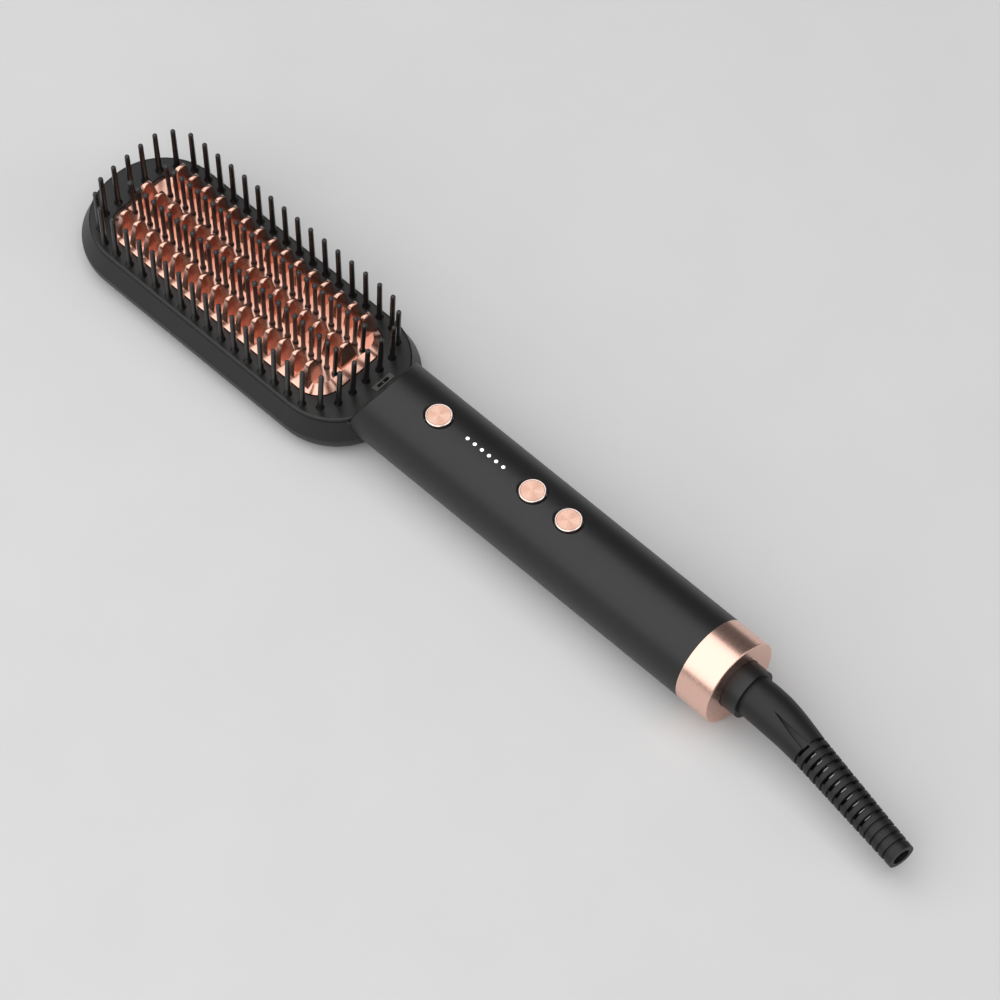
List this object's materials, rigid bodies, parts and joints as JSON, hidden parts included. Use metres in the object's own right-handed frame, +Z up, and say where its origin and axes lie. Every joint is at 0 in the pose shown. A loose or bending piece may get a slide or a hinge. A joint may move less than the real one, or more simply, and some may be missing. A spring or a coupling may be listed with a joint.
{
  "type": "hair straightener brush",
  "caption": "Corded heated straightening brush: round handle with keys and lights, finned metal heating plate between comb bristles, swivelling strain relief.",
  "frame": {"origin": "centre of the whole part's footprint, on the surface that its back rests on", "axes": "+X along the handle towards the cord's strain relief, +Y across, +Z up out of the bristles"},
  "size_m": [0.3836, 0.0556, 0.0372],
  "materials": {
    "shell_plastic": "matt charcoal",
    "frame_plastic": "satin charcoal",
    "bristle_plastic": "satin black",
    "rose_gold": "rose gold ceramic-coated",
    "rose_metal": "rose gold brushed",
    "boot_rubber": "matt",
    "swivel_plastic": "matt",
    "clear_plastic": "frosted",
    "board": "solder mask",
    "inner_plastic": "matt",
    "black_part": "satin",
    "steel": "plain",
    "brass": "plain",
    "film": "polyimide",
    "ceramic": "ceramic",
    "wire_red": "insulated",
    "outlet_plastic": "satin",
    "aluminium_strip": "plain"
  },
  "bodies": {
    "housing": {"back_screws": "steel", "board_carrier": "inner_plastic", "comb_frame": "frame_plastic", "contact_block": "inner_plastic", "contact_finger_live": "brass", "contact_finger_neutral": "brass", "control_board": "board", "electrode_lower": "aluminium_strip", "electrode_upper": "aluminium_strip", "filter_capacitor": "black_part", "fin_row_far": "rose_gold", "fin_row_middle": "rose_gold", "fin_row_near": "rose_gold", "heat_shield": "inner_plastic", "heater_clamp": "steel", "heater_leads": "wire_red", "heating_blocks": "ceramic", "heating_plate": "rose_gold", "inner_comb_far": "bristle_plastic", "inner_comb_near": "bristle_plastic", "insulation_film_lower": "film", "insulation_film_upper": "film", "ion_lead": "wire_red", "ion_module": "black_part", "ion_needle": "steel", "ion_needle_holder": "inner_plastic", "ion_outlet": "outlet_plastic", "light_chips": "clear_plastic", "light_pipe": "clear_plastic", "main_shell": "shell_plastic", "mains_leads": "wire_red", "minus_switch": "black_part", "outer_bristles": "bristle_plastic", "plus_switch": "black_part", "power_board": "board", "power_switch": "black_part", "processor": "black_part", "shield_posts": "inner_plastic", "storage_capacitor": "black_part", "swivel_bearing": "inner_plastic", "tail_cap": "rose_metal", "terminal_block": "inner_plastic", "thermal_fuse": "black_part", "thermistor": "black_part", "triac": "black_part"},
    "power_key": {"power_button": "rose_metal", "power_plunger": "black_part"},
    "minus_key": {"minus_button": "rose_metal", "minus_plunger": "black_part"},
    "plus_key": {"plus_button": "rose_metal", "plus_plunger": "black_part"},
    "cord_swivel": {"swivel_spindle": "swivel_plastic", "retaining_clip": "steel", "slip_ring_live": "brass", "slip_ring_neutral": "brass", "strain_relief": "boot_rubber"}
  },
  "joints": [
    {"name": "power_press", "type": "slide", "parent": "housing", "child": "power_key", "axis": [0, 0, -1], "range_m": [0, 0.0006], "stiffness_N_per_m": 2500, "springref_m": -0.0002},
    {"name": "minus_press", "type": "slide", "parent": "housing", "child": "minus_key", "axis": [0, 0, -1], "range_m": [0, 0.0006], "stiffness_N_per_m": 2500, "springref_m": -0.0002},
    {"name": "plus_press", "type": "slide", "parent": "housing", "child": "plus_key", "axis": [0, 0, -1], "range_m": [0, 0.0006], "stiffness_N_per_m": 2500, "springref_m": -0.0002},
    {"name": "cord_turn", "type": "hinge", "parent": "housing", "child": "cord_swivel", "pos_m": [0.09633, 0, 0.016], "axis": [1, 0, 0], "continuous": true}
  ]
}
